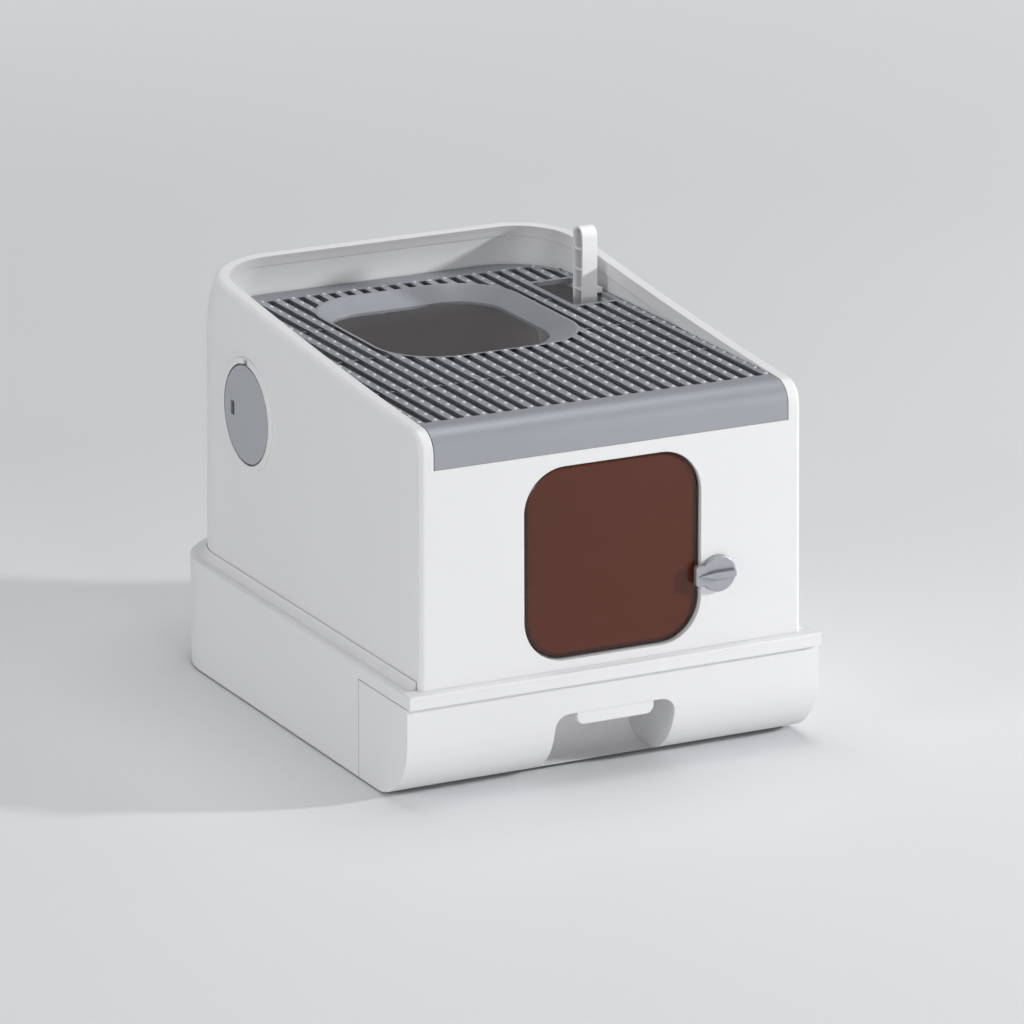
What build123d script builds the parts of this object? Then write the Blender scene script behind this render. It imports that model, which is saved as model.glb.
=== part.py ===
"""Covered litter box: base with a pull-out drawer, hood with a door, slotted top and scoop.

Millimetres, +Z up, front towards -Y. The origin is on the floor, under the middle of the base.
"""

from build123d import *

import os
from math import atan, atan2, cos, hypot, radians, sin, sqrt

# Base casing
BASE_W = 430.0
BASE_D = 550.0
BASE_H = 110.0
BASE_CORNER_R = 88.0
BASE_EDGE_R = 2.0
BASE_WALL = 3.0
FLOOR_T = 3.0
DECK_T = 3.0
RAIL_H = 12.5
CURB = 8.0
CURB_STEP = 0.5

# Rubber feet
FOOT_STAND = 1.5
FOOT_R = 11.0
FOOT_SINK = 1.2
FOOT_IN_X = 60.0
FOOT_IN_FRONT = 135.0
FOOT_IN_REAR = 60.0

# Drawer front
FASCIA_D = 107.6
FASCIA_SETBACK = 5.8
FASCIA_WALL = 3.0
UPRIGHT_T = 6.0
FASCIA_GAP = 0.7
TUCK_R = 64.0
RECESS_W = 125.0
RECESS_TOP = 68.0
RECESS_CORNER_R = 14.0
RECESS_FLOOR = 4.5
RECESS_BACK = 101.0
RAMP_R = 30.0
PULL_W = 80.0
PULL_H = 12.0
PULL_D = 7.0
PULL_R = 8.0
PULL_EDGE_R = 1.0

# Litter tray
TRAY_GAP = 3.5
TRAY_TOP = 92.0
TRAY_WALL = 2.5
TRAY_RIM = 2.5
TRAY_RIM_H = 3.0
TRAY_FRONT_R = 20.0
SKID_H = 1.8
SKID_W = 14.0
SKID_L = 320.0
SKID_X = 130.0
RUN_GAP = 0.2
TRAY_SCREW_IN = 65.0
TRAY_SCREW_Z = (24.0, 80.0)

# Hood
HOOD_SIDE_IN = 16.5
HOOD_FRONT_IN = 11.4
HOOD_CORNER_R = 72.0
HOOD_H = 400.0
HOOD_WALL = 3.5
DRAFT = 0.008
LEAN_FROM = 335.0
LEAN_R = 92.0
RIM_W = 13.0
RIM_UNDERCUT = 1.5
RIM_BEAD_H = 14.0
RIM_EDGE_R = 4.5
RIM_FRONT_R = 22.0
RIM_FRONT_Z = 332.0
RIM_SLOPE = 3.65
RIM_OVERRUN = 8.0
DECK_SEAT = 8.0
SPIGOT_GAP = 0.4
SPIGOT_T = 2.6
SPIGOT_H = 7.0
SPIGOT_ROOT = 3.0
CURB_GAP = 0.4

# Top panel
PANEL_Z = 354.0
PANEL_T = 4.5
PANEL_CLEAR = 0.8
PANEL_REAR_GAP = 1.9
PANEL_CORNER_R = 66.0
SHELF_T = 6.0
SHELF_W = 5.0
BAR_FOOT = 318.5
BAR_T = 4.0
BAR_TOP_D = 46.0
SLOT_COLUMNS = 22
SLOT_IN = 11.07
SLOT_W = 8.2
SLOT_END_R = 2.0
SLOT_ROWS = 4
SLOT_FRONT_LAND = 1.0
SLOT_REAR_LAND = 24.5
SLOT_RIB = 3.2
SLOT_RIB_SINK = 1.5
SLOT_MARGIN = 5.0
DISH_W = 205.0
DISH_L = 237.0
DISH_R = 62.0
DISH_REAR_LAND = 43.5
DISH_DROP = 14.5
DISH_T = 3.0
HOLE_SIZE = 180.0
HOLE_R = 45.0
HOLE_REAR_LAND = 56.5

# Scoop and its slot in the panel
SCOOP_SLOT_W = 45.0
SCOOP_SLOT_L = 91.0
SCOOP_REAR_LAND = 79.5
SCOOP_SLOT_R = 4.0
SCOOP_CLEAR = 3.0
SCOOP_FRAME = 4.7
GRIP_W = 16.0
GRIP_D = 20.0
GRIP_SIDE_IN = 6.0
GRIP_OFF = 8.5
GRIP_TOP = 421.0
GRIP_WALL = 2.2
GRIP_RIB_PITCH = 20.0
GRIP_RIB_T = 1.8
GRIP_ROUND = 0.98
BLADE_TOP = 318.0
BLADE_TIP = 186.0
BLADE_T = 2.4
BLADE_SLOT_W = 5.0
BLADE_SLOTS = 6
BLADE_SLOT_SHARE = 0.7
HOOK_L = 8.0
HOOK_H = 5.0
HOOK_D = 14.0

# Door
DOOR_SIZE = (184.0, 186.0)
DOOR_FOOT = 119.0
DOOR_R = 42.0
DOOR_GAP = 1.0
DOOR_FACE = 16.4
DOOR_T = 6.0
DOOR_EDGE_R = 3.5
COLLAR_T = 3.0
COLLAR_BACK = 23.0
ROD_R = 2.0
ROD_FIT = 0.05
ROD_Z = 309.0
ROD_AT = 30.0
EAR_X = 48.0
EAR_W = 10.0
EAR_R = 5.0
EAR_DROP = 12.0
EAR_ROOT = (1.0, 14.0)
BRACKET_X = 75.0
BRACKET_W = 12.0
BRACKET_Z = (304.8, 316.0)
BRACKET_FLANGE = 20.0
BRACKET_FLANGE_T = 4.0
BRACKET_BITE = 2.4

# Turn latch beside the door
KNOB_X = 108.9
KNOB_Z = 181.0
KNOB_R = 17.5
KNOB_T = 5.2
KNOB_SEAT = 11.6
KNOB_TAB_REACH = 24.5
KNOB_TAB_H = 20.0
KNOB_TAB_R = 3.0
KNOB_EDGE_R = 1.2
KNOB_BITE = 8.0
KNOB_GRIP_W = 6.0
KNOB_GRIP_H = 5.0
KNOB_STEM_R = 5.0
KNOB_FIT = 0.08
WASHER_R = 9.0
WASHER_T = 1.5

# Filter port in the left wall
PORT_REAR = 167.5
PORT_Z = 278.0
PORT_BOSS_R = 55.5
PORT_BOSS_PROUD = 2.3
PORT_EDGE_R = 0.8
PORT_T = 6.6
COVER_R = 47.9
COVER_T = 3.6
COVER_GAP = 1.5
PORT_R = 46.0
COVER_SPIGOT_R = 44.0
COVER_SPIGOT_H = 7.0
COIN_SLOT = (8.5, 14.0)
COIN_SLOT_R = 1.6
COIN_SLOT_OUT = 30.0
INDEX_W = 8.5
INDEX_STEPS = ((8.8, 2.2), (4.8, 5.2))
CUP_DEPTH = 24.0
CUP_WALL = 2.0
CUP_VENTS = 7
CUP_VENT_PITCH = 10.0
CUP_VENT_W = 5.0
CUP_SCREW_R = 52.4
CUP_SCREW_ANGLES = (30, 150, 270)
CUP_SCREW_BITE = 4.0
PAD_T = 12.0

# Small screws
SCREW_R = 1.6
SCREW_FIT = 0.05
SCREW_HEAD_R = 3.2
SCREW_HEAD_T = 2.2
SCREW_CROSS = (3.8, 0.9)
SCREW_CROSS_DEPTH = 1.2

# Sizes that follow from those above
MOUTH_TOP = BASE_H - RAIL_H
TRAY_SCREW_X = BASE_W / 2 - TRAY_SCREW_IN
BASE_FLOOR_TOP = FOOT_STAND + FLOOR_T
TRAY_FOOT = BASE_FLOOR_TOP + RUN_GAP + SKID_H
PANEL_FOOT = PANEL_Z - PANEL_T
SHELF_TOP = PANEL_FOOT - RUN_GAP
DOOR_MID_Z = DOOR_FOOT + DOOR_SIZE[1] / 2
PORT_Y = BASE_D / 2 - PORT_REAR
PORT_U = -PORT_Y


def behind(distance):
    """The y of a place that lies this far behind the front of the base."""
    return distance - BASE_D / 2


def facing_front(distance):
    """A plane at this distance behind the front, seen from the front: X right, Z up."""
    return Plane((0, behind(distance), 0), x_dir=(1, 0, 0), z_dir=(0, -1, 0))


def facing_back(distance):
    """A plane at this distance behind the front, seen from the back: -X right, Z up."""
    return Plane((0, behind(distance), 0), x_dir=(-1, 0, 0), z_dir=(0, 1, 0))


def facing_left(distance):
    """A plane this far left of the middle, seen from the left: -Y right, Z up."""
    return Plane((-distance, 0, 0), x_dir=(0, -1, 0), z_dir=(-1, 0, 0))


def facing_right(distance):
    """A plane this far left of the middle, seen from the right: Y right, Z up."""
    return Plane((-distance, 0, 0), x_dir=(0, 1, 0), z_dir=(1, 0, 0))


def hood_lean(z):
    """How far the rear wall has curved forward at this height."""
    rise = max(0.0, z - LEAN_FROM)
    return LEAN_R - sqrt(LEAN_R**2 - rise**2)


def hood_half_width(z, inset=0.0):
    return BASE_W / 2 - HOOD_SIDE_IN - DRAFT * (z - BASE_H) - inset


def hood_front(z, inset=0.0):
    """Distance of the hood's front face behind the front of the base."""
    return HOOD_FRONT_IN + DRAFT * (z - BASE_H) + inset


def hood_back(z, inset=0.0):
    return BASE_D - HOOD_SIDE_IN - DRAFT * (z - BASE_H) - hood_lean(z) - inset


def rounded_plan(half_width, front, back, rear_radius):
    """Draw a box plan with rounded rear corners into the open sketch."""
    with Locations((0, behind((front + back) / 2))):
        Rectangle(2 * half_width, back - front)
    fillet(vertices().group_by(Axis.Y)[-1], rear_radius)


def hood_plan(z, inset):
    rear_r = HOOD_CORNER_R - inset
    rounded_plan(hood_half_width(z, inset), hood_front(z, inset), hood_back(z, inset), rear_r)


def hood_prism(low, high, inset, sections=2, mode=Mode.ADD):
    """Loft the hood's plan, drawn in by inset, between two heights."""
    plans = []
    for step in range(sections):
        z = low + (high - low) * step / (sections - 1)
        with BuildSketch(Plane.XY.offset(z)) as plan:
            hood_plan(z, inset)
        plans.append(plan.sketch)
    loft(plans, ruled=sections == 2, mode=mode)


def rim_profile(drop):
    """Draw, in side view, all that lies above the hood's rim lowered by drop.

    The rim turns back over the front in one bend, then climbs in a shallow arc that runs on
    past the rear wall, so that the cut leaves no step there.
    """
    front = behind(hood_front(RIM_FRONT_Z))
    low = RIM_FRONT_Z - drop
    slope = radians(RIM_SLOPE)
    wall = radians(90) - atan(DRAFT)
    middle_y = front + RIM_FRONT_R * sin(wall)
    middle_z = low - RIM_FRONT_R * cos(wall)
    bend = [
        (middle_y - RIM_FRONT_R * sin(angle), middle_z + RIM_FRONT_R * cos(angle))
        for angle in (wall, (wall + slope) / 2, slope)
    ]
    start_y, start_z = bend[-1]
    run = behind(hood_back(HOOD_H)) - start_y
    rise = HOOD_H - drop - start_z
    climb = atan2(rise, run) - slope
    radius = hypot(run, rise) / (2 * sin(climb))
    finish = slope + 2 * climb + RIM_OVERRUN / radius
    end = (
        start_y + radius * (sin(finish) - sin(slope)),
        start_z + radius * (cos(slope) - cos(finish)),
    )
    past_back = BASE_D / 2
    above = HOOD_H + RIM_FRONT_R
    with BuildLine(Plane.XY) as outline:
        ThreePointArc(*bend)
        TangentArc(bend[-1], end, tangent=(cos(slope), sin(slope)))
        Polyline(
            end,
            (past_back, end[1]),
            (past_back, above),
            (-past_back, above),
            (-past_back, low),
            (front, low),
        )
    make_face(outline.edges())


def tray_screw_places(plane):
    return [
        Location(plane) * Location((side * TRAY_SCREW_X, z, 0))
        for side in (-1, 1)
        for z in TRAY_SCREW_Z
    ]


def bracket_screw_places(plane):
    first = BRACKET_X + BRACKET_W / 2 + BRACKET_FLANGE / 4
    return [
        Location(plane) * Location((side * x, sum(BRACKET_Z) / 2, 0))
        for side in (-1, 1)
        for x in (first, first + BRACKET_FLANGE / 2)
    ]


def cup_screw_places(plane):
    """Three places round the filter port, seen from inside the hood."""
    return [
        Location(plane)
        * Location(
            (
                -PORT_U + CUP_SCREW_R * cos(radians(angle)),
                PORT_Z + CUP_SCREW_R * sin(radians(angle)),
                0,
            )
        )
        for angle in CUP_SCREW_ANGLES
    ]


def door_outline(grow):
    """Draw the door opening's outline, grown all round, into a sketch that faces the front."""
    width, height = DOOR_SIZE
    with Locations((0, DOOR_MID_Z)):
        RectangleRounded(width + 2 * grow, height + 2 * grow, DOOR_R + grow)


def screw(length):
    """Add a pan-head screw along +Z of the current place, its cross-slotted head above."""
    below = (Align.CENTER, Align.CENTER, Align.MAX)
    above = (Align.CENTER, Align.CENTER, Align.MIN)
    Cylinder(SCREW_R, length, align=below)
    Cylinder(SCREW_HEAD_R, SCREW_HEAD_T, align=above)
    for slot in (SCREW_CROSS, SCREW_CROSS[::-1]):
        Box(*slot, SCREW_HEAD_T, align=above, mode=Mode.SUBTRACT)
    Cylinder(SCREW_HEAD_R, SCREW_HEAD_T - SCREW_CROSS_DEPTH, align=above)


def save(builder, name):
    builder.part.label = name
    export_step(builder.part, f"parts/{name}.step")


# Places that follow from the hood's walls
PANEL_HALF = hood_half_width(PANEL_Z, RIM_W) - PANEL_CLEAR
PANEL_BACK = hood_back(PANEL_Z, RIM_W - RIM_UNDERCUT) - PANEL_REAR_GAP
SCOOP_X = PANEL_HALF - SCOOP_FRAME - SCOOP_SLOT_W / 2
SCOOP_AT = PANEL_BACK - SCOOP_REAR_LAND - SCOOP_SLOT_L / 2
GRIP_X = SCOOP_X + SCOOP_SLOT_W / 2 - GRIP_SIDE_IN - GRIP_W / 2
GRIP_AT = SCOOP_AT - GRIP_OFF
PORT_FACE = hood_half_width(PORT_Z) + PORT_BOSS_PROUD
PORT_SEAT = PORT_FACE - PORT_T
BRACKET_AT = hood_front(BRACKET_Z[1], HOOD_WALL) + RUN_GAP / 4
WASHER_AT = hood_front(KNOB_Z + WASHER_R, HOOD_WALL) + RUN_GAP / 2

os.makedirs("parts", exist_ok=True)

foot_places = {
    "foot_front_left": (FOOT_IN_X - BASE_W / 2, behind(FOOT_IN_FRONT)),
    "foot_front_right": (BASE_W / 2 - FOOT_IN_X, behind(FOOT_IN_FRONT)),
    "foot_rear_left": (FOOT_IN_X - BASE_W / 2, behind(BASE_D - FOOT_IN_REAR)),
    "foot_rear_right": (BASE_W / 2 - FOOT_IN_X, behind(BASE_D - FOOT_IN_REAR)),
}

# Base casing: hollow box with a deck, open at the front below the rail
with BuildPart() as base_shell:
    with BuildSketch(Plane.XY.offset(FOOT_STAND)):
        rounded_plan(BASE_W / 2, 0, BASE_D, BASE_CORNER_R)
    extrude(amount=BASE_H - FOOT_STAND)
    fillet(faces().sort_by(Axis.Z)[-1].edges(), BASE_EDGE_R)
    with BuildSketch(Plane.XY.offset(BASE_FLOOR_TOP)):
        rounded_plan(BASE_W / 2 - BASE_WALL, BASE_WALL, BASE_D - BASE_WALL, BASE_CORNER_R - BASE_WALL)
    extrude(amount=BASE_H - DECK_T - BASE_FLOOR_TOP, mode=Mode.SUBTRACT)
    with BuildSketch(Plane.XY.offset(BASE_H - DECK_T)):
        hood_plan(BASE_H, DECK_SEAT)
    extrude(amount=DECK_T, mode=Mode.SUBTRACT)
    with Locations((0, behind((FASCIA_D + FASCIA_GAP) / 2), MOUTH_TOP)):
        Box(
            BASE_W,
            FASCIA_D + FASCIA_GAP,
            MOUTH_TOP,
            align=(Align.CENTER, Align.CENTER, Align.MAX),
            mode=Mode.SUBTRACT,
        )
    # Soft curb round the hood's sides and back
    hood_edge = hood_half_width(BASE_H) + CURB_GAP
    curb_start = behind(hood_front(BASE_H) + CURB)
    curb_back = behind(hood_back(BASE_H)) + CURB_GAP
    with BuildLine() as curb_path:
        FilletPolyline(
            (-hood_edge, curb_start),
            (-hood_edge, curb_back),
            (hood_edge, curb_back),
            (hood_edge, curb_start),
            radius=HOOD_CORNER_R + CURB_GAP,
        )
    with BuildSketch(Plane((-hood_edge, curb_start, BASE_H), x_dir=(-1, 0, 0), z_dir=(0, 1, 0))):
        with BuildLine():
            RadiusArc((CURB, CURB_STEP), (CURB_STEP, CURB), CURB - CURB_STEP)
            Polyline((CURB_STEP, CURB), (0, CURB), (0, -DECK_T / 2), (CURB, -DECK_T / 2), (CURB, CURB_STEP))
        make_face()
    sweep(path=curb_path.line)
    # Sockets for the feet
    with Locations(*[(x, y, FOOT_STAND) for x, y in foot_places.values()]):
        Cylinder(
            FOOT_R + RUN_GAP,
            FOOT_SINK,
            align=(Align.CENTER, Align.CENTER, Align.MIN),
            mode=Mode.SUBTRACT,
        )
save(base_shell, "base_shell")

for name, (x, y) in foot_places.items():
    with BuildPart() as foot:
        with Locations((x, y, 0)):
            Cylinder(FOOT_R, FOOT_STAND + FOOT_SINK, align=(Align.CENTER, Align.CENTER, Align.MIN))
        fillet(foot.edges().group_by(Axis.Z)[0], FOOT_STAND / 3)
    save(foot, name)


def fascia_profile(inset):
    """Side view of the drawer front: upright face that tucks under in one large curve."""
    with Locations((behind(FASCIA_SETBACK + inset), FOOT_STAND + inset)):
        Rectangle(
            FASCIA_D - FASCIA_SETBACK - inset,
            MOUTH_TOP - FASCIA_GAP - FOOT_STAND - 2 * inset,
            align=(Align.MIN, Align.MIN),
        )
    nose = vertices().group_by(Axis.X)[0].group_by(Axis.Y)[0]
    fillet(nose, TUCK_R - inset)


# Drawer front: shell open to the rear, with a finger recess in the middle
with BuildPart() as recess_block:
    with BuildSketch(Plane.YZ):
        fascia_profile(0)
        with Locations((0, RECESS_TOP + FASCIA_WALL)):
            Rectangle(BASE_D, BASE_H, align=(Align.CENTER, Align.MIN), mode=Mode.SUBTRACT)
        with Locations((behind(RECESS_BACK + FASCIA_WALL), 0)):
            Rectangle(BASE_D, BASE_H, align=(Align.MIN, Align.MIN), mode=Mode.SUBTRACT)
    extrude(amount=RECESS_W / 2 + FASCIA_WALL, both=True)

with BuildPart() as recess_space:
    with BuildSketch(Plane.YZ):
        with Locations((behind(RECESS_BACK), RECESS_FLOOR)):
            Rectangle(
                RECESS_BACK + FASCIA_SETBACK,
                RECESS_TOP - RECESS_FLOOR,
                align=(Align.MAX, Align.MIN),
            )
        fillet(vertices().group_by(Axis.X)[-1].group_by(Axis.Y)[0], RAMP_R)
    extrude(amount=RECESS_W / 2, both=True)
    fillet(edges().filter_by(Axis.Y).group_by(Axis.Z)[-1], RECESS_CORNER_R)

with BuildPart() as drawer_front:
    with BuildSketch(Plane.YZ):
        fascia_profile(0)
    extrude(amount=BASE_W / 2, both=True)
    with BuildSketch(Plane.YZ):
        fascia_profile(FASCIA_WALL)
    extrude(amount=BASE_W / 2 - FASCIA_WALL, both=True, mode=Mode.SUBTRACT)
    add(recess_block.part)
    add(recess_space.part, mode=Mode.SUBTRACT)
    # Two uprights behind that the tray is screwed to
    with Locations(*[(side * TRAY_SCREW_X, behind(FASCIA_D), FOOT_STAND) for side in (-1, 1)]):
        Box(
            SKID_W,
            UPRIGHT_T,
            MOUTH_TOP - FASCIA_GAP - FOOT_STAND,
            align=(Align.CENTER, Align.MAX, Align.MIN),
        )
    with Locations(*tray_screw_places(facing_front(FASCIA_D))):
        Cylinder(SCREW_R + SCREW_FIT, UPRIGHT_T * 2, mode=Mode.SUBTRACT)
save(drawer_front, "drawer_front")

# Pull tab: hangs from the top of the recess, flush with the drawer front
with BuildPart() as drawer_pull:
    with BuildSketch(facing_front(FASCIA_SETBACK)):
        with Locations((0, RECESS_TOP)):
            Rectangle(PULL_W, PULL_H, align=(Align.CENTER, Align.MAX))
        fillet(vertices().group_by(Axis.Y)[0], PULL_R)
    extrude(amount=-PULL_D)
    front_edges = edges().group_by(Axis.Y)[0]
    fillet(front_edges.filter_by(lambda edge: edge.center().Z < RECESS_TOP - PULL_EDGE_R), PULL_EDGE_R)
save(drawer_pull, "drawer_pull")

# Litter tray: open pan with an outward rim
tray_half = BASE_W / 2 - BASE_WALL - TRAY_GAP - TRAY_RIM
tray_back = BASE_D - BASE_WALL - TRAY_GAP - TRAY_RIM
tray_radius = BASE_CORNER_R - BASE_WALL - TRAY_GAP - TRAY_RIM
with BuildPart() as drawer_tray:
    with BuildSketch(Plane.XY.offset(TRAY_FOOT)):
        rounded_plan(tray_half, FASCIA_D, tray_back, tray_radius)
    extrude(amount=TRAY_TOP - TRAY_FOOT)
    with BuildSketch(Plane.XY.offset(TRAY_TOP - TRAY_RIM_H)):
        rounded_plan(tray_half + TRAY_RIM, FASCIA_D, tray_back + TRAY_RIM, tray_radius + TRAY_RIM)
    extrude(amount=TRAY_RIM_H)
    with BuildSketch(Plane.XY.offset(TRAY_FOOT + TRAY_WALL)):
        rounded_plan(
            tray_half - TRAY_WALL,
            FASCIA_D + TRAY_WALL,
            tray_back - TRAY_WALL,
            tray_radius - TRAY_WALL,
        )
        fillet(vertices().group_by(Axis.Y)[0], TRAY_FRONT_R)
    extrude(amount=TRAY_TOP - TRAY_FOOT, mode=Mode.SUBTRACT)
    with Locations(*tray_screw_places(facing_front(FASCIA_D))):
        Cylinder(SCREW_R + SCREW_FIT, UPRIGHT_T * 2, mode=Mode.SUBTRACT)
save(drawer_tray, "drawer_tray")

with BuildPart() as drawer_screws:
    with Locations(*tray_screw_places(facing_back(FASCIA_D + TRAY_WALL))):
        screw(TRAY_WALL + UPRIGHT_T - SCREW_FIT)
save(drawer_screws, "drawer_screws")

for name, side in (("drawer_skid_left", -1), ("drawer_skid_right", 1)):
    with BuildPart() as skid:
        with Locations((side * SKID_X, behind(FASCIA_D + TRAY_FRONT_R), TRAY_FOOT)):
            Box(SKID_W, SKID_L, SKID_H, align=(Align.CENTER, Align.MIN, Align.MAX))
        fillet(edges().filter_by(Axis.Z), SKID_W / 3)
    save(skid, name)

# Hood: tapered shell whose rear wall curves forward under a thick rim
with BuildPart() as rim_undercut:
    hood_prism(SHELF_TOP, HOOD_H + RIM_EDGE_R, RIM_W - RIM_UNDERCUT, sections=5)
    with BuildSketch(Plane.YZ):
        rim_profile(RIM_BEAD_H)
    extrude(amount=BASE_W / 2, both=True, mode=Mode.SUBTRACT)

with BuildPart() as hood_spigot:
    hood_prism(BASE_H, BASE_H + SPIGOT_ROOT, HOOD_WALL / 2)
    hood_prism(BASE_H - SPIGOT_H, BASE_H + SPIGOT_ROOT, DECK_SEAT + SPIGOT_GAP)
    spigot_inside = DECK_SEAT + SPIGOT_GAP + SPIGOT_T
    hood_prism(BASE_H - SPIGOT_H, BASE_H + SPIGOT_ROOT, spigot_inside, mode=Mode.SUBTRACT)

with BuildPart() as port_boss:
    with Locations(Location(facing_left(PORT_FACE)) * Location((PORT_U, PORT_Z, 0))):
        Cylinder(PORT_BOSS_R, PORT_T, align=(Align.CENTER, Align.CENTER, Align.MAX))
    fillet(faces().sort_by(Axis.X)[0].edges(), PORT_EDGE_R)

with BuildPart() as hood_shell:
    hood_prism(BASE_H, LEAN_FROM, 0)
    hood_prism(LEAN_FROM, HOOD_H + RIM_EDGE_R, 0, sections=5)
    with BuildSketch(Plane.YZ):
        rim_profile(0)
    extrude(amount=BASE_W / 2, both=True, mode=Mode.SUBTRACT)
    rim = faces().filter_by(GeomType.CYLINDER).sort_by(SortBy.AREA)[-1]
    fillet(rim.edges().filter_by(GeomType.LINE, reverse=True), RIM_EDGE_R)
    # Space above the shelf, shelf opening and cabin under it
    add(rim_undercut.part, mode=Mode.SUBTRACT)
    hood_prism(SHELF_TOP, HOOD_H + RIM_EDGE_R, RIM_W, sections=5, mode=Mode.SUBTRACT)
    hood_prism(SHELF_TOP - SHELF_T, SHELF_TOP, RIM_W + SHELF_W, mode=Mode.SUBTRACT)
    hood_prism(LEAN_FROM, SHELF_TOP - SHELF_T, HOOD_WALL, mode=Mode.SUBTRACT)
    hood_prism(BASE_H, LEAN_FROM, HOOD_WALL, mode=Mode.SUBTRACT)
    with Locations((0, behind(0), BAR_FOOT - RUN_GAP)):
        Box(
            2 * hood_half_width(PANEL_Z, RIM_W),
            2 * (BAR_TOP_D + RIM_W),
            HOOD_H,
            align=(Align.CENTER, Align.CENTER, Align.MIN),
            mode=Mode.SUBTRACT,
        )
    add(hood_spigot.part)
    # Door opening with a collar behind it
    with BuildSketch(facing_front(COLLAR_BACK)):
        door_outline(COLLAR_T)
    extrude(amount=COLLAR_BACK - hood_front(DOOR_MID_Z, HOOD_WALL / 2))
    with BuildSketch(facing_front(COLLAR_BACK)):
        door_outline(0)
    extrude(amount=COLLAR_BACK, mode=Mode.SUBTRACT)
    with Locations(Location(facing_front(0)) * Location((KNOB_X, KNOB_Z, 0))):
        Cylinder(
            KNOB_STEM_R,
            WASHER_AT,
            align=(Align.CENTER, Align.CENTER, Align.MAX),
            mode=Mode.SUBTRACT,
        )
    with Locations(*bracket_screw_places(facing_front(BRACKET_AT))):
        Cylinder(SCREW_R + SCREW_FIT, 2 * BRACKET_BITE, mode=Mode.SUBTRACT)
    # Filter port: proud ring, seat for the cover and index notch
    add(port_boss.part)
    with Locations(Location(facing_left(PORT_FACE)) * Location((PORT_U, PORT_Z, 0))):
        Cylinder(
            COVER_R + COVER_GAP,
            COVER_T + RUN_GAP,
            align=(Align.CENTER, Align.CENTER, Align.MAX),
            mode=Mode.SUBTRACT,
        )
        Cylinder(PORT_R, 3 * PORT_T, mode=Mode.SUBTRACT)
    with Locations((-PORT_FACE, PORT_Y, PORT_Z + COVER_R)):
        for height, depth in INDEX_STEPS:
            upward = (Align.CENTER, Align.CENTER, Align.MIN)
            Box(2 * depth, INDEX_W, height, align=upward, mode=Mode.SUBTRACT)
    with Locations(*cup_screw_places(facing_right(PORT_SEAT))):
        Cylinder(SCREW_R + SCREW_FIT, 2 * CUP_SCREW_BITE, mode=Mode.SUBTRACT)
save(hood_shell, "hood_shell")

# Door: pane hung from a rod by two ears
with BuildPart() as door_flap:
    with BuildSketch(facing_front(DOOR_FACE)):
        door_outline(-DOOR_GAP)
    extrude(amount=-DOOR_T)
    fillet(faces().sort_by(Axis.Y)[0].edges(), DOOR_EDGE_R)
    for side in (-1, 1):
        with BuildSketch(Plane.YZ.offset(side * EAR_X)):
            with Locations((behind(ROD_AT), ROD_Z)):
                Circle(EAR_R)
            with Locations((behind(DOOR_FACE + DOOR_T), ROD_Z - EAR_DROP)):
                Rectangle(EAR_ROOT[0], EAR_ROOT[1], align=(Align.MAX, Align.MAX))
            make_hull()
        extrude(amount=EAR_W / 2, both=True)
    with Locations(Location((0, behind(ROD_AT), ROD_Z), (0, 90, 0))):
        Cylinder(ROD_R + ROD_FIT, 4 * EAR_X, mode=Mode.SUBTRACT)
save(door_flap, "door_flap")

with BuildPart() as door_rod:
    with Locations(Location((0, behind(ROD_AT), ROD_Z), (0, 90, 0))):
        Cylinder(ROD_R, 2 * BRACKET_X + BRACKET_W)
    chamfer(edges(), ROD_R / 4)
save(door_rod, "door_rod")

for name, side in (("door_bracket_left", -1), ("door_bracket_right", 1)):
    with BuildPart() as bracket:
        foot, head = BRACKET_Z
        with Locations((side * BRACKET_X, behind(BRACKET_AT), foot)):
            Box(
                BRACKET_W,
                ROD_AT + EAR_R - BRACKET_AT,
                head - foot,
                align=(Align.CENTER, Align.MIN, Align.MIN),
            )
        flange_mid = BRACKET_X + (BRACKET_W + BRACKET_FLANGE) / 2
        with Locations((side * flange_mid, behind(BRACKET_AT), foot)):
            Box(
                BRACKET_FLANGE,
                BRACKET_FLANGE_T,
                head - foot,
                align=(Align.CENTER, Align.MIN, Align.MIN),
            )
        with Locations(Location((side * BRACKET_X, behind(ROD_AT), ROD_Z), (0, 90, 0))):
            Cylinder(ROD_R + ROD_FIT / 2, 2 * BRACKET_W, mode=Mode.SUBTRACT)
        with Locations(*bracket_screw_places(facing_front(BRACKET_AT))):
            Cylinder(SCREW_R + SCREW_FIT, 3 * BRACKET_FLANGE_T, mode=Mode.SUBTRACT)
    save(bracket, name)

with BuildPart() as bracket_screws:
    with Locations(*bracket_screw_places(facing_back(BRACKET_AT + BRACKET_FLANGE_T))):
        screw(BRACKET_FLANGE_T + BRACKET_BITE - SCREW_FIT)
save(bracket_screws, "bracket_screws")

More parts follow.
